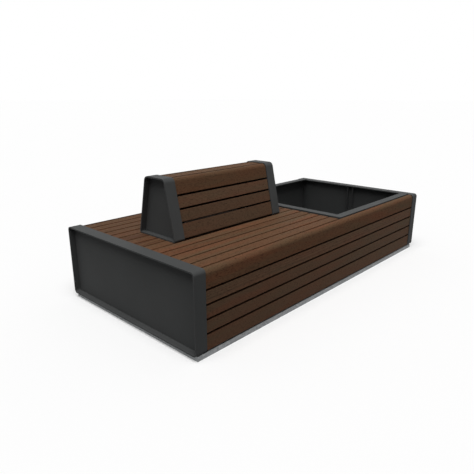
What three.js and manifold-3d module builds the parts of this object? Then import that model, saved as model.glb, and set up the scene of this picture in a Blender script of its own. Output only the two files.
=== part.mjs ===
// A street bench: a timber seat and low backrest between two steel end frames, with a steel planter
// let into one end. Millimetres, +Z up, origin on the floor under the middle, planter towards +X.

import * as THREE from 'three';
import { mergeVertices } from 'three/addons/utils/BufferGeometryUtils.js';
import Module from 'manifold-3d';

const wasm = await Module();
wasm.setup();

// Overall sizes
const benchLength = 2378;
const benchWidth = 1112;
const seatHeight = 450;
const plinthHeight = 27;

// Clearances
const fit = 0.3; // between pieces that touch
const boardGap = 10; // open joint between two boards
const endGap = 1; // between the end of a board and the steel it meets
const rimGap = 7; // between the planter's rim and the timber along it
const planterGap = 19; // between the ends of the seat boards and the planter's rim
const woodInset = 5; // how far the steel edges stand proud of the timber
const cutOverrun = 2; // how far a cutting tool runs past the face it opens

// End frames: flat bar bent into a closed loop, with a sheet panel half way along its depth
const endFrameDepth = 72;
const flatBarThickness = 8;
const endFrameCornerRadius = 20;
const panelThickness = 4;

// Timber
const seatBoardCount = 14;
const boardThickness = 30;
const edgeRadius = 2;
const noseHeight = 96;
const bottomBoardClearance = 8; // above the end frames' lower edge
const sideBoardShares = [0.234, 0.234, 0.234, 0.298]; // of the timber height under the nose

// Backrest
const backrestNearSetback = 157; // from the near end frame's inner edge
const backrestFarSetback = 166; // from the planter's rim
const backrestHeight = 333; // above the timber of the seat
const backrestBaseWidth = 314;
const backrestTopWidth = 166;
const backrestFrameDepth = 69;
const backrestTopCornerRadius = 30;
const backrestBaseCornerRadius = 12;
const slopeBoardShares = [0.31, 0.24, 0.24]; // of a slope's timber up to the level of the top board
const backrestNoseRadius = 26;
const ribDepth = 40;
const ribThickness = 6;
const ribSetback = 4; // from the backrest frame's inner edge

// Planter
const planterLength = 1020;
const planterSheet = 3;
const rimWidthAtSeat = 56;
const rimWidthAtSides = 57;
const rimCornerRadius = 10;
const drainRadius = 10;
const drainPlaceShares = [0.25, 0.75]; // along the planter's floor
const drainSideShare = 0.5; // of the floor's half width
const stiffenerWidth = 50;

// Plinth and the steel under the timber
const plinthEndInset = 15;
const plinthSideInset = 6;
const plinthRailWidth = 70;
const plinthWall = 3;
const plinthVentRadius = 6;
const crossBarWidth = 50;
const crossBarThickness = 8;
const crossBarBend = 16; // outer radius where a cross frame's bar is bent
const bearerWidth = 50;
const bearerHeight = 30;
const bearerWall = 3;
const bearerSetback = 20; // from the inner face of the planter's seat end
const cradleDrop = 30; // from the planter's rim down to the top of a cradle's uprights

// Bolts
const boltHeadRadius = 8;
const boltHeadHeight = 6;
const boltShankRadius = 5;
const boltEdgeDistance = 22; // from the seat board's edge nearest the middle of the seat

// Smoothness of round corners and holes
const smallCornerSteps = 2;
const bigCornerSteps = 8;
const holeSides = 12;

// Derived places
const endX = benchLength / 2;
const sideY = benchWidth / 2;
const frameBottom = plinthHeight + fit;
const woodTop = seatHeight - woodInset;
const woodSideY = sideY - woodInset;
const woodInnerY = woodSideY - boardThickness;
const boardUnderside = woodTop - boardThickness;
const innerEndX = endX - endFrameDepth; // inner edge of an end frame
const panelRecess = (endFrameDepth - panelThickness) / 2;
const timberStartX = -innerEndX + endGap;
const sideEndX = innerEndX - endGap;
const rimStartX = innerEndX - planterLength;
const seatEndX = rimStartX - planterGap;
const crossTop = boardUnderside - fit;
const crossSideY = woodInnerY - fit;

const up = new THREE.Vector3(0, 0, 1);
const down = new THREE.Vector3(0, 0, -1);

// Materials, in the colours of the real finish
const graphitePaint = new THREE.MeshStandardMaterial({ color: 0x3b3d3f, roughness: 0.55, metalness: 0.2 });
const brownTimber = new THREE.MeshStandardMaterial({ color: 0x5a4032, roughness: 0.7, metalness: 0 });
const zincSteel = new THREE.MeshStandardMaterial({ color: 0x8f9192, roughness: 0.5, metalness: 0.7 });
const boltSteel = new THREE.MeshStandardMaterial({ color: 0xb4b6b8, roughness: 0.35, metalness: 0.9 });

const bench = new THREE.Group();

// Every geometry is made in the bench's own axes. Each piece gets a copy of the material for itself.
function addPiece(name, geometry, material) {
  const mesh = new THREE.Mesh(geometry, material.clone());
  mesh.name = name;
  bench.add(mesh);
}

// One corner of an outline, with its rounding.
const corner = (x, y, radius = edgeRadius, steps = smallCornerSteps) => (
  { at: new THREE.Vector2(x, y), radius, steps });

// Fills a shape or a hole with the arcs that round each corner to its own radius.
function roundedOutline(corners, outline = new THREE.Shape()) {
  const points = [];
  corners.forEach(({ at, radius, steps }, i) => {
    const back = corners.at(i - 1).at.clone().sub(at).normalize();
    const ahead = corners[(i + 1) % corners.length].at.clone().sub(at).normalize();
    const halfAngle = Math.acos(THREE.MathUtils.clamp(back.dot(ahead), -1, 1)) / 2;
    const toCentre = back.clone().add(ahead).normalize();
    const centre = toCentre.multiplyScalar(radius / Math.sin(halfAngle)).add(at);
    const start = back.multiplyScalar(radius / Math.tan(halfAngle)).add(at).sub(centre);
    const turnSign = Math.sign(start.cross(at.clone().sub(centre)));
    for (let step = 0; step <= steps; step += 1) {
      const angle = turnSign * (Math.PI - 2 * halfAngle) * step / steps;
      points.push(start.clone().rotateAround(new THREE.Vector2(), angle).add(centre));
    }
  });
  return outline.setFromPoints(points);
}

function roundedRectangle(x0, y0, x1, y1, radius = edgeRadius, steps = smallCornerSteps) {
  return [corner(x0, y0, radius, steps), corner(x1, y0, radius, steps),
    corner(x1, y1, radius, steps), corner(x0, y1, radius, steps)];
}

const sharpOutline = (points, outline = new THREE.Shape()) => (
  outline.setFromPoints(points.map(([x, y]) => new THREE.Vector2(x, y))));

const sharpRectangle = (x0, y0, x1, y1, outline) => (
  sharpOutline([[x0, y0], [x1, y0], [x1, y1], [x0, y1]], outline));

// A shape with one hole.
function withHole(shape, makeHole) {
  shape.holes.push(makeHole(new THREE.Path()));
  return shape;
}

const extruded = (shape, depth) => new THREE.ExtrudeGeometry(shape, { depth, bevelEnabled: false });

// A section in Y and Z pushed along X.
const axesAlongX = new THREE.Matrix4().makeBasis(
  new THREE.Vector3(0, 1, 0), new THREE.Vector3(0, 0, 1), new THREE.Vector3(1, 0, 0));
const alongX = (shape, x0, x1) => extruded(shape, x1 - x0).applyMatrix4(axesAlongX).translate(x0, 0, 0);

// A section in X and Z pushed along Y.
const axesAlongY = new THREE.Matrix4().makeBasis(
  new THREE.Vector3(1, 0, 0), new THREE.Vector3(0, 0, 1), new THREE.Vector3(0, -1, 0));
const alongY = (shape, y0, y1) => extruded(shape, y1 - y0).applyMatrix4(axesAlongY).translate(0, y1, 0);

// A section in X and Y pushed along Z.
const alongZ = (shape, z0, z1) => extruded(shape, z1 - z0).translate(0, 0, z0);

// A closed geometry as a solid, and a solid as a geometry.
function solidOf(geometry) {
  const bare = geometry.clone();
  bare.deleteAttribute('normal');
  bare.deleteAttribute('uv');
  const merged = mergeVertices(bare);
  return new wasm.Manifold(new wasm.Mesh({
    numProp: 3,
    vertProperties: new Float32Array(merged.attributes.position.array),
    triVerts: new Uint32Array(merged.index.array),
  }));
}

function geometryOf(solid) {
  const { vertProperties, triVerts } = solid.getMesh();
  const geometry = new THREE.BufferGeometry();
  geometry.setAttribute('position', new THREE.BufferAttribute(new Float32Array(vertProperties), 3));
  geometry.setIndex(new THREE.BufferAttribute(new Uint32Array(triVerts), 1));
  const faceted = geometry.toNonIndexed();
  faceted.computeVertexNormals();
  return faceted;
}

const cutAway = (geometry, cutters) => geometryOf(
  cutters.reduce((solid, cutter) => solid.subtract(solidOf(cutter)), solidOf(geometry)));

const joined = geometries => geometryOf(
  geometries.map(solidOf).reduce((whole, solid) => whole.add(solid)));

// A profile of radius and height turned about +Z, then stood at a place and pointed along a direction.
function turned(profile, place, direction) {
  const points = profile.map(([radius, height]) => new THREE.Vector2(radius, height));
  const turn = new THREE.Quaternion().setFromUnitVectors(up, direction);
  return new THREE.LatheGeometry(points, holeSides).rotateX(Math.PI / 2).applyQuaternion(turn)
    .translate(place.x, place.y, place.z);
}

const pin = (radius, start, end, place, direction) => (
  turned([[0, start], [radius, start], [radius, end], [0, end]], place, direction));

// Seat boards lie side by side across the bench. Y is the edge that each one starts at.
const seatHalfWidth = woodInnerY - boardGap;
const seatBoardWidth = (2 * seatHalfWidth - (seatBoardCount - 1) * boardGap) / seatBoardCount;
const seatBoardY = i => i * (seatBoardWidth + boardGap) - seatHalfWidth;

// Backrest outline: a trapezoid in Y and Z that stands on the seat, with a frame at each end.
const backrestNearX = backrestNearSetback - innerEndX;
const backrestFarX = rimStartX - backrestFarSetback;
const backrestBottom = woodTop + fit;
const backrestTop = woodTop + backrestHeight;
const slopeRun = (backrestBaseWidth - backrestTopWidth) / 2;
const slopeAngle = Math.atan2(slopeRun, backrestTop - backrestBottom);

// Y of the front slope at a height, so far inside the frame's outer face.
const slopeY = (z, inset) => (
  (z - backrestBottom) * Math.tan(slopeAngle) + inset / Math.cos(slopeAngle) - backrestBaseWidth / 2);

// A place on the front slope, so far up it from the seat and so far inside the frame's outer face.
function slopeCorner(upSlope, inset) {
  const z = backrestBottom + upSlope * Math.cos(slopeAngle) - inset * Math.sin(slopeAngle);
  return corner(slopeY(z, inset), z);
}

function trapezoid(inset, bottom, top, baseRadius, topRadius) {
  return [
    corner(slopeY(bottom, inset), bottom, baseRadius, bigCornerSteps),
    corner(-slopeY(bottom, inset), bottom, baseRadius, bigCornerSteps),
    corner(-slopeY(top, inset), top, topRadius, bigCornerSteps),
    corner(slopeY(top, inset), top, topRadius, bigCornerSteps),
  ];
}

// The same corners on the other long side.
const mirroredAcross = corners => corners.toReversed()
  .map(({ at, radius, steps }) => corner(-at.x, at.y, radius, steps));

// Bolts that hold each backrest frame down through its base, the seat and a cross frame. They stand in
// the inner half of the frame's base, behind its panel, on the second board out from the middle.
const innerHalf = (backrestFrameDepth - panelThickness) / 2;
const boltInset = backrestFrameDepth - innerHalf / 2;
const boltX = [backrestNearX + boltInset, backrestFarX - boltInset];
const boltOutY = seatBoardY(Math.floor(seatBoardCount / 2) + 1) + boltEdgeDistance;
const boltY = [-boltOutY, boltOutY];
const boltGrip = backrestBottom + flatBarThickness + fit - (crossTop - crossBarThickness);
const boltPlaces = boltX.map(x => boltY.map(y => (
  new THREE.Vector3(x, y, backrestBottom + flatBarThickness + fit))));
const boltHoles = boltPlaces.flat().map(place => (
  pin(boltShankRadius + fit, -cutOverrun, boltGrip + cutOverrun, place, down)));
const boltProfile = [[0, -boltHeadHeight], [boltHeadRadius, -boltHeadHeight], [boltHeadRadius, 0],
  [boltShankRadius, 0], [boltShankRadius, boltGrip], [0, boltGrip]];

// End frames: a flat bar loop each, with a panel half way along its depth.
// The far one ends level with the timber.
const farFrameTop = woodTop;
const endOutline = (top, inset, outline) => roundedOutline(roundedRectangle(
  inset - sideY, frameBottom + inset, sideY - inset, top - inset,
  endFrameCornerRadius - inset, bigCornerSteps), outline);
for (const [name, top, frameX, panelX] of [['near', seatHeight, -endX, panelRecess - endX],
  ['far', farFrameTop, innerEndX, endX - panelRecess - panelThickness]]) {
  const loop = withHole(endOutline(top, 0), path => endOutline(top, flatBarThickness, path));
  addPiece(`end_frame_${name}`, alongX(loop, frameX, frameX + endFrameDepth), graphitePaint);
  addPiece(`end_panel_${name}`, alongX(endOutline(top, flatBarThickness + fit), panelX,
    panelX + panelThickness), graphitePaint);
}

// Long sides, which run from one end frame to the other: the nose, then the side boards under it.
const sideTimberHeight = woodTop - noseHeight - frameBottom - bottomBoardClearance
  - boardGap * sideBoardShares.length;
const longSides = [['front', corners => corners], ['back', mirroredAcross]];
for (const [side, placed] of longSides) {
  const noseBottom = woodTop - noseHeight;
  const nose = [
    corner(-woodSideY, noseBottom), corner(-woodInnerY, noseBottom), corner(-woodInnerY, woodTop),
    corner(-woodSideY, woodTop, boardThickness - edgeRadius, bigCornerSteps),
  ];
  addPiece(`nose_board_${side}`, alongX(roundedOutline(placed(nose)), timberStartX, sideEndX), brownTimber);
  let top = noseBottom - boardGap;
  sideBoardShares.forEach((share, i) => {
    const bottom = top - sideTimberHeight * share;
    const board = roundedRectangle(-woodSideY, bottom, -woodInnerY, top);
    addPiece(`side_board_${side}_${i + 1}`, alongX(roundedOutline(placed(board)), timberStartX, sideEndX),
      brownTimber);
    top = bottom - boardGap;
  });
}

// Seat boards, which stop at the planter.
for (let i = 0; i < seatBoardCount; i += 1) {
  const section = roundedOutline(roundedRectangle(
    seatBoardY(i), boardUnderside, seatBoardY(i) + seatBoardWidth, woodTop));
  addPiece(`seat_board_${String(i + 1).padStart(2, '0')}`,
    cutAway(alongX(section, timberStartX, seatEndX), boltHoles), brownTimber);
}

// Backrest frames: a trapezoid loop of flat bar each, with a panel half way along its depth.
const backrestOutline = (inset, outline) => roundedOutline(trapezoid(inset, backrestBottom + inset,
  backrestTop - inset, backrestBaseCornerRadius - inset, backrestTopCornerRadius - inset), outline);
for (const [name, frameX] of [['near', backrestNearX], ['far', backrestFarX - backrestFrameDepth]]) {
  const loop = withHole(backrestOutline(0), path => backrestOutline(flatBarThickness, path));
  addPiece(`backrest_frame_${name}`, cutAway(alongX(loop, frameX, frameX + backrestFrameDepth), boltHoles),
    graphitePaint);
  const panelX = frameX + innerHalf;
  addPiece(`backrest_panel_${name}`, alongX(backrestOutline(flatBarThickness + fit), panelX,
    panelX + panelThickness), graphitePaint);
}

// Backrest boards. On each slope the lowest starts level and the highest is a nose that runs up to the
// flat top, where one more board lies between the two noses.
const backrestTimberX = [backrestNearX + backrestFrameDepth + endGap,
  backrestFarX - backrestFrameDepth - endGap];
const innerInset = woodInset + boardThickness;
const topBoardTop = backrestTop - woodInset;
const topBoardBottom = topBoardTop - boardThickness;
const slopeEnd = (topBoardBottom - backrestBottom) / Math.cos(slopeAngle);
const slopeTimber = slopeEnd - boardGap * (slopeBoardShares.length + 1);
const levelCut = z => [corner(slopeY(z, woodInset), z), corner(slopeY(z, innerInset), z)];
const squareCut = upSlope => [slopeCorner(upSlope, woodInset), slopeCorner(upSlope, innerInset)];
for (const [side, placed] of longSides) {
  let start = boardGap;
  slopeBoardShares.forEach((share, i) => {
    const end = start + slopeTimber * share;
    const low = i === 0 ? levelCut(woodTop + boardGap) : squareCut(start);
    const board = [...low, ...squareCut(end).toReversed()];
    addPiece(`backrest_board_${side}_${i + 1}`,
      alongX(roundedOutline(placed(board)), ...backrestTimberX), brownTimber);
    start = end + boardGap;
  });
  const nose = [
    ...squareCut(start), corner(slopeY(topBoardTop, innerInset), topBoardTop),
    corner(slopeY(topBoardTop, woodInset), topBoardTop, backrestNoseRadius, bigCornerSteps),
  ];
  addPiece(`backrest_nose_${side}`, alongX(roundedOutline(placed(nose)), ...backrestTimberX), brownTimber);
}
const topBoardHalf = -slopeY(topBoardTop, innerInset) - boardGap;
addPiece('backrest_top_board', alongX(roundedOutline(roundedRectangle(
  -topBoardHalf, topBoardBottom, topBoardHalf, topBoardTop)), ...backrestTimberX), brownTimber);

// Backrest ribs: a flat bar loop behind each frame, inside the boards, that stands on the seat.
const ribOffset = backrestFrameDepth + ribSetback;
const ribStarts = [['near', backrestNearX + ribOffset], ['far', backrestFarX - ribOffset - ribDepth]];
const ribOutline = (inset, outline) => roundedOutline(trapezoid(innerInset + fit + inset,
  woodTop + fit + inset, topBoardBottom - fit - inset, edgeRadius, edgeRadius), outline);
for (const [name, x] of ribStarts) {
  const loop = withHole(ribOutline(0), path => ribOutline(ribThickness, path));
  addPiece(`backrest_rib_${name}`, alongX(loop, x, x + ribDepth), graphitePaint);
}

// Planter: an open box under a flat rim on three sides. The rim reaches in over the box as a lip. The
// fourth wall stands under the far end frame, against the panel.
const boxTop = seatHeight - flatBarThickness - fit;
const boxBottom = frameBottom + bearerHeight + fit;
const floorTop = boxBottom + planterSheet;
const legInnerY = crossSideY - crossBarThickness; // inner face of the uprights behind the side boards
const cavityStartX = rimStartX + planterSheet;
const cavityEndX = endX - panelRecess - panelThickness - fit - planterSheet;
const cavityHalfWidth = legInnerY - fit - planterSheet;
const cavityOutline = grow => sharpRectangle(
  cavityStartX - grow, -cavityHalfWidth - grow, cavityEndX + grow, cavityHalfWidth + grow);
const drains = drainPlaceShares.flatMap(share => [-1, 1].map(side => pin(
  drainRadius, -cutOverrun, planterSheet + cutOverrun,
  new THREE.Vector3(cavityStartX + (cavityEndX - cavityStartX) * share,
    side * cavityHalfWidth * drainSideShare, boxBottom), up)));
const rimEndX = innerEndX - fit;
const farWallTop = farFrameTop - flatBarThickness - fit;
const farCut = sharpRectangle(rimEndX, -sideY, endX, sideY);
addPiece('planter_box', cutAway(alongZ(cavityOutline(planterSheet), boxBottom, boxTop),
  [alongZ(cavityOutline(0), floorTop, boxTop + cutOverrun),
    alongZ(farCut, farWallTop, boxTop + cutOverrun), ...drains]), graphitePaint);

const rimHalfWidth = woodInnerY - rimGap;
const rimInnerX = rimStartX + rimWidthAtSeat;
const rimInnerY = rimHalfWidth - rimWidthAtSides;
const rimCorners = [
  corner(rimStartX, rimHalfWidth, rimCornerRadius), corner(rimStartX, -rimHalfWidth, rimCornerRadius),
  corner(rimEndX, -rimHalfWidth), corner(rimEndX, -rimInnerY),
  corner(rimInnerX, -rimInnerY), corner(rimInnerX, rimInnerY),
  corner(rimEndX, rimInnerY), corner(rimEndX, rimHalfWidth),
];
addPiece('planter_rim', alongZ(roundedOutline(rimCorners), seatHeight - flatBarThickness, seatHeight),
  graphitePaint);

// Stiffener: an upright channel on the planter's far wall, open towards the end frame's inner edge.
const channelFront = innerEndX + endGap;
const channelBack = cavityEndX - fit;
const channelHalf = stiffenerWidth / 2;
const channelInner = channelHalf - planterSheet;
addPiece('planter_stiffener', alongZ(sharpOutline([
  [channelFront, -channelHalf], [channelBack, -channelHalf], [channelBack, channelHalf],
  [channelFront, channelHalf], [channelFront, channelInner], [channelBack - planterSheet, channelInner],
  [channelBack - planterSheet, -channelInner], [channelFront, -channelInner],
]), floorTop + fit, farWallTop), graphitePaint);

// Plinth: rectangular tube welded into one frame, with a vent hole under each corner.
const plinthX = endX - plinthEndInset;
const plinthY = sideY - plinthSideInset;
function plinthRing(wall) {
  const inner = plinthRailWidth - wall;
  const ring = withHole(sharpRectangle(wall - plinthX, wall - plinthY, plinthX - wall, plinthY - wall),
    path => sharpRectangle(inner - plinthX, inner - plinthY, plinthX - inner, plinthY - inner, path));
  return alongZ(ring, wall, plinthHeight - wall);
}
const ventX = plinthX - plinthRailWidth / 2;
const ventY = plinthY - plinthRailWidth / 2;
const vents = [-1, 1].flatMap(end => [-1, 1].map(side => pin(plinthVentRadius, -cutOverrun,
  plinthWall + cutOverrun, new THREE.Vector3(end * ventX, side * ventY, 0), up)));
addPiece('plinth_frame', cutAway(plinthRing(0), [plinthRing(plinthWall), ...vents]), zincSteel);

// Cross frames: portals of flat bar that stand on the plinth and carry the boards. The second and the
// fourth stand under the bolts of the backrest frames.
const seatMiddleX = (timberStartX + seatEndX) / 2;
const crossStarts = [timberStartX + endGap, boltX[0] - crossBarWidth / 2,
  seatMiddleX - crossBarWidth / 2, boltX[1] - crossBarWidth / 2, seatEndX - crossBarWidth];
const crossUnder = crossTop - crossBarThickness;
const bendInside = crossBarBend - crossBarThickness;
const portal = roundedOutline([
  corner(-crossSideY, frameBottom), corner(-legInnerY, frameBottom),
  corner(-legInnerY, crossUnder, bendInside), corner(legInnerY, crossUnder, bendInside),
  corner(legInnerY, frameBottom), corner(crossSideY, frameBottom),
  corner(crossSideY, crossTop, crossBarBend), corner(-crossSideY, crossTop, crossBarBend),
]);
crossStarts.forEach((x, i) => addPiece(`cross_frame_${i + 1}`,
  cutAway(alongX(portal, x, x + crossBarWidth), boltHoles), graphitePaint));

// Under the planter three tubes lie across the plinth: a plain bearer, and two cradles with an upright
// at each end for the side boards.
const bearerTop = frameBottom + bearerHeight;
function bearerTube(x) {
  const tube = withHole(sharpRectangle(x, frameBottom, x + bearerWidth, bearerTop),
    path => sharpRectangle(x + bearerWall, frameBottom + bearerWall, x + bearerWidth - bearerWall,
      bearerTop - bearerWall, path));
  return alongY(tube, -crossSideY, crossSideY);
}
const bearerX = cavityStartX + bearerSetback;
addPiece('planter_bearer', bearerTube(bearerX), graphitePaint);
const lastCradleX = innerEndX - endGap - bearerWidth;
for (const [name, x] of [['near', (bearerX + lastCradleX) / 2], ['far', lastCradleX]]) {
  const uprights = [-crossSideY, legInnerY].map(y => alongZ(
    sharpRectangle(x, y, x + bearerWidth, y + crossBarThickness), bearerTop - bearerWall / 2,
    seatHeight - cradleDrop));
  addPiece(`planter_cradle_${name}`, joined([bearerTube(x), ...uprights]), graphitePaint);
}

// Backrest bolts.
['near', 'far'].forEach((end, i) => ['front', 'back'].forEach((side, j) => addPiece(
  `backrest_bolt_${end}_${side}`, turned(boltProfile, boltPlaces[i][j], down), boltSteel)));

export default bench;
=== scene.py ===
# Street bench with a built-in planter: timber boards between end frames of painted flat bar, on a
# galvanised plinth. Metres, +Z up, the planter towards +X.
import math

import bmesh
import bpy
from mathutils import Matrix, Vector


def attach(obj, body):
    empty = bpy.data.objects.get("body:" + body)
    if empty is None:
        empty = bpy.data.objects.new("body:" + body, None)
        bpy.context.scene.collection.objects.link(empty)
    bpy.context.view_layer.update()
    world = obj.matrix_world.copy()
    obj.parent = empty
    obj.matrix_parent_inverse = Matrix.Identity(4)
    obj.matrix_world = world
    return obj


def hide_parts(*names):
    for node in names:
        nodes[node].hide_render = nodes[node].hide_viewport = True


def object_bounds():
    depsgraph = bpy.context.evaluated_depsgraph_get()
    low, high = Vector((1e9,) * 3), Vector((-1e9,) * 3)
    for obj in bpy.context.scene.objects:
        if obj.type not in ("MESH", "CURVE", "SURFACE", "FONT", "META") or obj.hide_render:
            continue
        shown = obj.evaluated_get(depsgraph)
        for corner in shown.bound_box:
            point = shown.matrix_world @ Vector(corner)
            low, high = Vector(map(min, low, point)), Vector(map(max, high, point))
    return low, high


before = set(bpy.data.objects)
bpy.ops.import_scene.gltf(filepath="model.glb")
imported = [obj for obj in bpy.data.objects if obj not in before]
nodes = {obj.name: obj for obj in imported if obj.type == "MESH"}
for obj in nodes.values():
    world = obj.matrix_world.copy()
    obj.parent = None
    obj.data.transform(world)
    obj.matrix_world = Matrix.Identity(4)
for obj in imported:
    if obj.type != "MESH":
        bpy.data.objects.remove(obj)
cadBox = [list(corner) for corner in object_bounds()]
print("loaded", len(nodes), "nodes")


# Camera: the photograph's place in metres, its direction in degrees, its lens in millimetres
shot = {
    "place": (-2.42778, -1.97026, 1.18989), "down": 17.0345, "turn": -46.9842,
    "lens": 35.0, "sensor": 36.0,
}

camera = bpy.data.objects.new("camera", bpy.data.cameras.new("camera"))
bpy.context.scene.collection.objects.link(camera)
camera.location = shot["place"]
camera.rotation_euler = (math.radians(90 - shot["down"]), 0, math.radians(shot["turn"]))
camera.data.lens = shot["lens"]
camera.data.sensor_width = shot["sensor"]
bpy.context.scene.camera = camera
print("camera placed")


# Materials
def linearColour(hexValue):
    parts = [int(hexValue[i:i + 2], 16) / 255 for i in (1, 3, 5)]
    return [p / 12.92 if p <= 0.04045 else ((p + 0.055) / 1.055) ** 2.4 for p in parts] + [1]


def addNode(owner, kind, settings=None, links=None):
    node = owner.node_tree.nodes.new(kind)
    for key, value in (settings or {}).items():
        if isinstance(key, str) and key not in node.inputs:
            setattr(node, key, value)
        else:
            node.inputs[key].default_value = value
    for key, source in (links or {}).items():
        owner.node_tree.links.new(source, node.inputs[key])
    return node


def emptyMaterial(name):
    material = bpy.data.materials.new(name)
    material.use_nodes = True
    material.node_tree.nodes.clear()
    return material


# 0 inside a box and 1 outside it, by place alone. The edge is where the change starts and ends, counted
# from the box's faces.
def outsideBox(owner, at, middle, reach, edge):
    fromMiddle = addNode(owner, "ShaderNodeVectorMath", {"operation": "SUBTRACT", 1: middle}, {0: at})
    distance = addNode(owner, "ShaderNodeVectorMath", {"operation": "ABSOLUTE"}, {0: fromMiddle.outputs[0]})
    past = addNode(owner, "ShaderNodeVectorMath", {"operation": "SUBTRACT", 1: reach},
        {0: distance.outputs[0]})
    ways = addNode(owner, "ShaderNodeSeparateXYZ", None, {0: past.outputs[0]}).outputs
    farthest = ways[0]
    for way in ways[1:]:
        farthest = addNode(owner, "ShaderNodeMath", {"operation": "MAXIMUM"},
            {0: farthest, 1: way}).outputs[0]
    return addNode(owner, "ShaderNodeMapRange", {"From Min": edge[0], "From Max": edge[1]},
        {"Value": farthest}).outputs[0]


# How each of the bench's materials ends: roughness follows a fine pattern, and relief follows a height.
def finishSurface(m, look, colour, fine, height=None):
    rough = addNode(m, "ShaderNodeMapRange",
        {"To Min": look["roughness"][0], "To Max": look["roughness"][1]}, {"Value": fine}).outputs[0]
    links = {"Base Color": colour, "Roughness": rough}
    if height is not None:
        links["Normal"] = addNode(m, "ShaderNodeBump",
            {"Strength": look["bump"], "Distance": look["relief"]}, {"Height": height}).outputs[0]
    surface = addNode(m, "ShaderNodeBsdfPrincipled", look["shader"], links)
    addNode(m, "ShaderNodeOutputMaterial", None, {"Surface": surface.outputs[0]})
    return m


# Oiled, brushed hardwood boards, planed and then rubbed with a brown oil: a dull surface, fine dark
# pores along the board, wandering growth rings, and a slow drift between red brown and olive brown.
timber = {
    "early": "#664c36", "late": "#4a3326", "red": "#714833", "olive": "#5d4d3a", "pore": "#2b1e17",
    "roughness": (0.72, 0.85), "shader": {"Specular IOR Level": 0.05},
    "stretch": 9,  # along the board
    "ringSpacing": 0.006, "ringWobble": 1.2, "ringWobbleScale": 1.5,
    "sway": 0.014, "swayLength": 0.125,
    "poreWidth": 0.0016,  # real pores are 0.3 mm, too fine to show
    "poreShare": (0.55, 0.75), "poreDepth": 0.6,
    "streakWidth": 0.045, "streakShare": (0.3, 0.7),
    "detail": {"rings": 2.0, "sway": 2.0, "pores": 1.0, "streaks": 3.0},
    "bump": 0.5, "relief": 0.0004,
}
# The boards that stand upright are a little greyer, a painted sheen of the sky on their faces, and their oil
# shines a little more.
uprightTimberWithSheen = {
    **timber, "early": "#654d3a", "late": "#493529", "red": "#704a37", "olive": "#5c503e",
    "shader": {"Specular IOR Level": 0.09},
}
# Each batch of boards has its own place in the log, is a little lighter or darker, and drifts more or less.
timberBatches = [
    {"place": (0.00, 0.21, 0.33), "tone": 1.00, "drift": 0.35},
    {"place": (1.70, -0.38, 0.61), "tone": 0.93, "drift": 0.55},
    {"place": (0.90, 0.64, -0.27), "tone": 1.06, "drift": 0.45},
    {"place": (2.60, -0.12, 0.92), "tone": 0.97, "drift": 0.25},
    {"place": (3.30, 0.83, 0.15), "tone": 1.03, "drift": 0.65},
    {"place": (4.10, -0.71, -0.48), "tone": 0.90, "drift": 0.40},
]
# Inside the backrest's foot the seat is painted dark: painted shade, as little light reaches under the
# backrest.
backrestFootShade = {"middle": (-0.5145, 0.0, 0.40), "reach": (0.40, 0.146, 0.06), "edge": 0.004, "shadeColour": "#1e1108"}
wavePeriod = math.tau / 20  # of Blender's wave texture at scale 1


def timberMaterial(name, look, batch):
    m = emptyMaterial(name)
    at = addNode(m, "ShaderNodeTexCoord").outputs["Object"]
    stretched = addNode(m, "ShaderNodeMapping", {
        "Location": (batch["place"][0] / look["stretch"], batch["place"][1], batch["place"][2]),
        "Scale": (1 / look["stretch"], 1, 1)}, {"Vector": at}).outputs[0]
    wander = addNode(m, "ShaderNodeTexNoise",
        {"Scale": 1 / look["swayLength"], "Detail": look["detail"]["sway"]},
        {"Vector": stretched}).outputs["Color"]
    centred = addNode(m, "ShaderNodeVectorMath", {"operation": "SUBTRACT", 1: (0.5, 0.5, 0.5)}, {0: wander})
    swayed = addNode(m, "ShaderNodeVectorMath", {"operation": "MULTIPLY_ADD", 1: (look["sway"],) * 3},
        {0: centred.outputs[0], 2: stretched}).outputs[0]
    rings = addNode(m, "ShaderNodeTexWave", {"wave_type": "RINGS", "rings_direction": "X",
        "Scale": wavePeriod / look["ringSpacing"], "Distortion": look["ringWobble"],
        "Detail": look["detail"]["rings"], "Detail Scale": look["ringWobbleScale"]},
        {"Vector": swayed}).outputs["Fac"]
    streaks = addNode(m, "ShaderNodeTexNoise",
        {"Scale": 1 / look["streakWidth"], "Detail": look["detail"]["streaks"]},
        {"Vector": stretched}).outputs["Fac"]
    specks = addNode(m, "ShaderNodeTexNoise",
        {"Scale": 1 / look["poreWidth"], "Detail": look["detail"]["pores"]},
        {"Vector": stretched}).outputs["Fac"]
    pores = addNode(m, "ShaderNodeMapRange",
        {"From Min": look["poreShare"][0], "From Max": look["poreShare"][1]}, {"Value": specks}).outputs[0]
    drift = addNode(m, "ShaderNodeMapRange",
        {"From Min": look["streakShare"][0], "From Max": look["streakShare"][1]},
        {"Value": streaks}).outputs[0]

    def shade(key):
        return [c * batch["tone"] for c in linearColour(look[key])[:3]] + [1]

    grown = addNode(m, "ShaderNodeMix", {"data_type": "RGBA", 6: shade("early"), 7: shade("late")},
        {0: rings}).outputs[2]
    hue = addNode(m, "ShaderNodeMix", {"data_type": "RGBA", 6: shade("red"), 7: shade("olive")},
        {0: drift}).outputs[2]
    blended = addNode(m, "ShaderNodeMix", {"data_type": "RGBA", 0: batch["drift"]},
        {6: grown, 7: hue}).outputs[2]
    porous = addNode(m, "ShaderNodeMix", {"data_type": "RGBA", 7: linearColour(look["pore"])},
        {0: pores, 6: blended}).outputs[2]
    # Painted shade: inside the backrest's foot the timber is darkened.
    unshaded = outsideBox(m, at, backrestFootShade["middle"], backrestFootShade["reach"], (-backrestFootShade["edge"], backrestFootShade["edge"]))
    withPaintedShade = addNode(m, "ShaderNodeMix", {"data_type": "RGBA", 6: linearColour(backrestFootShade["shadeColour"])},
        {0: unshaded, 7: porous}).outputs[2]
    height = addNode(m, "ShaderNodeMath", {"operation": "MULTIPLY_ADD", 1: -look["poreDepth"]},
        {0: pores, 2: rings}).outputs[0]
    return finishSurface(m, look, withPaintedShade, pores, height)


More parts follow.
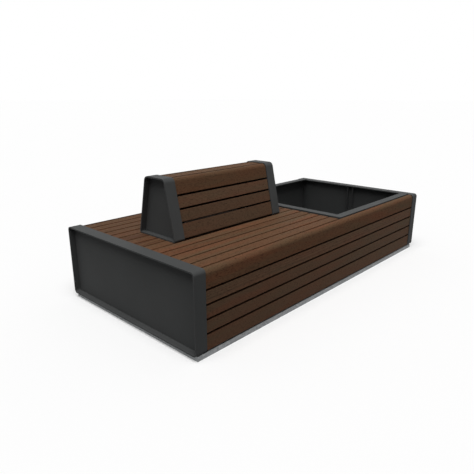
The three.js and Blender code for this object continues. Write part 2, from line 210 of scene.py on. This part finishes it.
# Polyester powder coat on steel, sprayed and baked in a fine matt texture: an even graphite grey, soft
# highlights, and a faint grit that only shows close up.
powderCoat = {
    "low": "#454646", "high": "#4a4b4b", "roughness": (0.6, 0.7), "shader": {"Specular IOR Level": 0.07},
    "cloud": 0.35, "cloudShare": (0.35, 0.65),
    "grit": 0.0016,  # the real grit is 0.3 mm
    "detail": {"cloud": 3.0, "grit": 1.0},
    "bump": 0.6, "relief": 0.00006,
}
# In the planter the same paint is darker: painted shade for the depth of the box.
planterShadeCoat = {**powderCoat, "low": "#3d3e3e", "high": "#424343"}
# The steel under the timber is near black and dull: painted shade for the dark inside of the bench, so the
# joints stay dark.
innerSteelShade = {
    **powderCoat, "low": "#161616", "high": "#1c1c1b", "roughness": (0.8, 0.9),
    "shader": {"Specular IOR Level": 0.05},
}


def paintMaterial(name, look):
    m = emptyMaterial(name)
    at = addNode(m, "ShaderNodeTexCoord").outputs["Object"]
    cloud = addNode(m, "ShaderNodeTexNoise",
        {"Scale": 1 / look["cloud"], "Detail": look["detail"]["cloud"]}, {"Vector": at}).outputs["Fac"]
    grit = addNode(m, "ShaderNodeTexNoise",
        {"Scale": 1 / look["grit"], "Detail": look["detail"]["grit"]}, {"Vector": at}).outputs["Fac"]
    spread = addNode(m, "ShaderNodeMapRange",
        {"From Min": look["cloudShare"][0], "From Max": look["cloudShare"][1]}, {"Value": cloud}).outputs[0]
    colour = addNode(m, "ShaderNodeMix", {"data_type": "RGBA", 6: linearColour(look["low"]),
        7: linearColour(look["high"])}, {0: spread}).outputs[2]
    return finishSurface(m, look, colour, grit, grit)


# Hot dip galvanised steel, weathered dull: flat crystals about 12 mm across in slightly different greys.
zincCoat = {
    "low": "#7c7e7f", "high": "#939596", "roughness": (0.5, 0.66), "shader": {"Metallic": 0.8},
    "crystal": 0.012,
}


def crystalMaterial(name, look):
    m = emptyMaterial(name)
    at = addNode(m, "ShaderNodeTexCoord").outputs["Object"]
    crystals = addNode(m, "ShaderNodeTexVoronoi", {"Scale": 1 / look["crystal"]}, {"Vector": at})
    parts = addNode(m, "ShaderNodeSeparateColor", None, {"Color": crystals.outputs["Color"]}).outputs
    colour = addNode(m, "ShaderNodeMix", {"data_type": "RGBA", 6: linearColour(look["low"]),
        7: linearColour(look["high"])}, {0: parts[0]}).outputs[2]
    return finishSurface(m, look, colour, parts[1])


# Stainless steel bolts, cold headed: bright, with fine turned marks.
bolt = {
    "low": "#a3a5a6", "high": "#bcbdbe", "roughness": (0.28, 0.42), "shader": {"Metallic": 1.0},
    "patch": 0.0015, "detail": 2.0,  # the marks are drawn coarser than real ones
}
# The timber on the backs, the sawn ends and in all joints but those between seat boards, dark and even:
# partly oil and the street's dust, partly painted shade for the depth of the joints.
jointDirtAndShade = {
    "low": "#1e1108", "high": "#2d1b0f", "roughness": (0.85, 0.95), "shader": {"Specular IOR Level": 0.05},
    "patch": 0.03, "detail": 3.0,
}


def patchyMaterial(name, look):
    m = emptyMaterial(name)
    at = addNode(m, "ShaderNodeTexCoord").outputs["Object"]
    patches = addNode(m, "ShaderNodeTexNoise", {"Scale": 1 / look["patch"], "Detail": look["detail"]},
        {"Vector": at}).outputs["Fac"]
    colour = addNode(m, "ShaderNodeMix", {"data_type": "RGBA", 6: linearColour(look["low"]),
        7: linearColour(look["high"])}, {0: patches}).outputs[2]
    return finishSurface(m, look, colour, patches)


lyingBoards = [timberMaterial("oiled_hardwood_brushed_%d" % (i + 1), timber, batch)
    for i, batch in enumerate(timberBatches)]
uprightBoards = [timberMaterial("oiled_hardwood_painted_sheen_%d" % (i + 1), uprightTimberWithSheen, batch)
    for i, batch in enumerate(timberBatches)]
jointDirtAndShadeWood = patchyMaterial("hardwood_dirt_and_painted_shade", jointDirtAndShade)
powderCoated = paintMaterial("powder_coated_steel_fine_texture", powderCoat)
planterShadedPaint = paintMaterial("powder_coated_steel_painted_shade", planterShadeCoat)
innerSteelShaded = paintMaterial("steel_near_black_painted_shade", innerSteelShade)
galvanised = crystalMaterial("hot_dip_galvanised_steel", zincCoat)
stainless = patchyMaterial("stainless_steel_cold_headed", bolt)
print("materials made")


# Finished pieces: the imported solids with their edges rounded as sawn, filed or dipped ones are. Angles are
# in degrees, and an edge is rounded where its two faces turn by more than "sharp".
boardLook = {"merge": 1e-5, "flat": 0.3, "sharp": 50, "edge": 0.0008, "steps": 2}
steelLook = {**boardLook, "edge": 0.001}
sheetLook = {**boardLook, "edge": 0.0006}


def finishedPiece(node, look, material, slot):
    mesh = bpy.data.meshes.new(node + "_finished")
    solid = bmesh.new()
    solid.from_mesh(nodes[node].data)
    bmesh.ops.remove_doubles(solid, verts=solid.verts, dist=look["merge"])
    bmesh.ops.dissolve_limit(solid, angle_limit=math.radians(look["flat"]), verts=solid.verts,
        edges=solid.edges)
    sharp = [e for e in solid.edges if e.is_manifold and e.calc_face_angle() > math.radians(look["sharp"])]
    bmesh.ops.bevel(solid, geom=sharp, offset=look["edge"], offset_type="OFFSET", segments=look["steps"],
        profile=0.5, affect="EDGES", clamp_overlap=True, material=-1)
    for face in solid.faces:
        face.smooth = True
    solid.to_mesh(mesh)
    solid.free()
    mesh.materials.append(material)
    piece = bpy.data.objects.new(node + "_finished", mesh)
    bpy.context.scene.collection.objects.link(piece)
    shading = piece.modifiers.new("flat faces stay flat", "WEIGHTED_NORMAL")
    shading.keep_sharp = True
    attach(piece, "root")
    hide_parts(node)
    return piece


# Boards. The backrest's long faces lean back by "lean" degrees. A face keeps the open timber where the
# cosine of its angle to one of the board's open ways is at least "shown"; the rest get the dark timber, dirt
# and painted shade.
boardFaces = {"lean": 12.55, "shown": 0.6}
timberStarts = ("nose_board", "side_board", "seat_board", "backrest_board", "backrest_nose", "backrest_top")
uprightStarts = ("side_board", "backrest_board")
boards = [n for n in sorted(nodes) if n.startswith(timberStarts)]
seatOrder = [2, 2, 4, 1, 4, 2, 3, 0, 3, 5, 5, 5, 3, 3]  # batch of each seat board, from the front
# The other boards' batches go up by "step" from board to board, and by one more after every "more" boards.
otherOrder = {"step": 5, "more": 4}


# Which ways a board's open faces look. Its other faces, in joints or inside the bench, get dirt and painted
# shade.
def openFaceWays(node):
    up = Vector((0, 0, 1))
    out = Vector((0, 1 if "_back" in node.removeprefix("backrest") else -1, 0))
    if node.startswith("seat_board"):
        return [up, out, -out]
    if node.startswith("backrest_top"):
        return [up]
    if node.startswith("side_board"):
        return [out]
    if node.startswith("nose_board"):
        return [out, up, (out + up).normalized()]
    lean = math.radians(boardFaces["lean"])
    slope = out * math.cos(lean) + up * math.sin(lean)
    if node.startswith("backrest_nose"):
        return [slope, up, (slope + up).normalized()]
    return [slope]


for i, node in enumerate(boards):
    batch = (i * otherOrder["step"] + i // otherOrder["more"]) % len(timberBatches)
    if node.startswith("seat_board"):
        batch = seatOrder[int(node[-2:]) - 1]
    kind = uprightBoards if node.startswith(uprightStarts) else lyingBoards
    piece = finishedPiece(node, boardLook, kind[batch], "brown_timber")
    piece.data.materials.append(jointDirtAndShadeWood)
    ways = openFaceWays(node)
    # Faces that look elsewhere get the dark timber: dirt and painted shade.
    for face in piece.data.polygons:
        if max(face.normal.dot(way) for way in ways) < boardFaces["shown"]:
            face.material_index = 1
print("boards finished", len(boards))


# Steel. What shows is finished piece by piece, and the rest keeps its imported solid in another material:
# the bolts stainless, the steel inside near black as painted shade.
steelKinds = {
    ("end_frame", "backrest_frame", "planter_rim"): (steelLook, powderCoated, "graphite_paint"),
    ("end_panel", "backrest_panel"): (sheetLook, powderCoated, "graphite_paint"),
    ("planter_box", "planter_stiffener"): (sheetLook, planterShadedPaint, "graphite_paint"),
    ("plinth_frame",): (steelLook, galvanised, "zinc_steel"),
}
steels = [n for n in sorted(nodes) if n not in boards]
for node in steels:
    kinds = [kind for starts, kind in steelKinds.items() if node.startswith(starts)]
    if kinds:
        finishedPiece(node, *kinds[0])
    else:
        nodes[node].data.materials.clear()
        nodes[node].data.materials.append(stainless if node.startswith("backrest_bolt") else innerSteelShaded)
print("steel finished", len(steels))


# Studio: a pale floor, an even sky and one broad lamp overhead. Angles are in degrees.
studio = {
    "floor": "#fefefe", "floorBounce": "#505050", "floorSize": 120.0, "floorGlow": 0.2, "glowEdge": 0.04,
    "white": 1.0, "sky": 0.18, "lamp": 0.88, "lampSpread": 50, "lampTilt": (13, -17),
}


# 1 for what the camera sees, also in a reflection or through something clear, and 0 for the light that
# reaches the bench
def seenShare(owner):
    rays = addNode(owner, "ShaderNodeLightPath").outputs
    seen = rays["Is Camera Ray"]
    for kind in ("Is Glossy Ray", "Is Transmission Ray"):
        seen = addNode(owner, "ShaderNodeMath", {"operation": "MAXIMUM"},
            {0: seen, 1: rays[kind]}).outputs[0]
    return seen


floorMesh = bpy.data.meshes.new("floor")
plane = bmesh.new()
bmesh.ops.create_grid(plane, x_segments=1, y_segments=1, size=studio["floorSize"])
plane.to_mesh(floorMesh)
plane.free()
floor = bpy.data.objects.new("floor", floorMesh)
bpy.context.scene.collection.objects.link(floor)

# The backdrop is the floor's own paint: to the camera it glows a little, so it stays even and near
# white, and it still takes the bench's shadow. Onto the bench it throws back only a little light.
floorPaint = emptyMaterial("studio_floor_matt_white")
seen = seenShare(floorPaint)
pale = addNode(floorPaint, "ShaderNodeMix", {"data_type": "RGBA", 6: linearColour(studio["floorBounce"]),
    7: linearColour(studio["floor"])}, {0: seen}).outputs[2]
matt = addNode(floorPaint, "ShaderNodeBsdfDiffuse", None, {"Color": pale}).outputs[0]
glow = addNode(floorPaint, "ShaderNodeEmission",
    {"Color": linearColour(studio["floor"]), "Strength": studio["white"]}).outputs[0]
# Under the bench it doesn't glow, so what shows through the joints and drain holes is dark.
at = addNode(floorPaint, "ShaderNodeTexCoord").outputs["Object"]
half = [max(-low, high) for low, high in zip(*cadBox)]
clear = outsideBox(floorPaint, at, (0, 0, 0), half, (-studio["glowEdge"], 0))
share = addNode(floorPaint, "ShaderNodeMath", {"operation": "MULTIPLY"}, {0: seen, 1: clear}).outputs[0]
share = addNode(floorPaint, "ShaderNodeMath", {"operation": "MULTIPLY", 1: studio["floorGlow"]},
    {0: share}).outputs[0]
surface = addNode(floorPaint, "ShaderNodeMixShader", None, {0: share, 1: matt, 2: glow}).outputs[0]
addNode(floorPaint, "ShaderNodeOutputMaterial", None, {"Surface": surface})
floor.data.materials.append(floorPaint)

world = bpy.data.worlds.new("studio")
world.use_nodes = True
world.node_tree.nodes.clear()
bpy.context.scene.world = world
level = addNode(world, "ShaderNodeMapRange", {"To Min": studio["sky"], "To Max": studio["white"]},
    {"Value": seenShare(world)}).outputs[0]
sky = addNode(world, "ShaderNodeBackground", {"Color": (1, 1, 1, 1)}, {"Strength": level}).outputs[0]
addNode(world, "ShaderNodeOutputWorld", None, {"Surface": sky})

lamp = bpy.data.objects.new("overhead_softbox", bpy.data.lights.new("overhead_softbox", "SUN"))
lamp.data.energy = studio["lamp"] * math.pi  # pi lights white paint to 1
lamp.data.angle = math.radians(studio["lampSpread"])
lamp.rotation_euler = [math.radians(a) for a in (*studio["lampTilt"], 0)]
bpy.context.scene.collection.objects.link(lamp)

bpy.context.scene.view_settings.view_transform = "Standard"
print("studio lit")
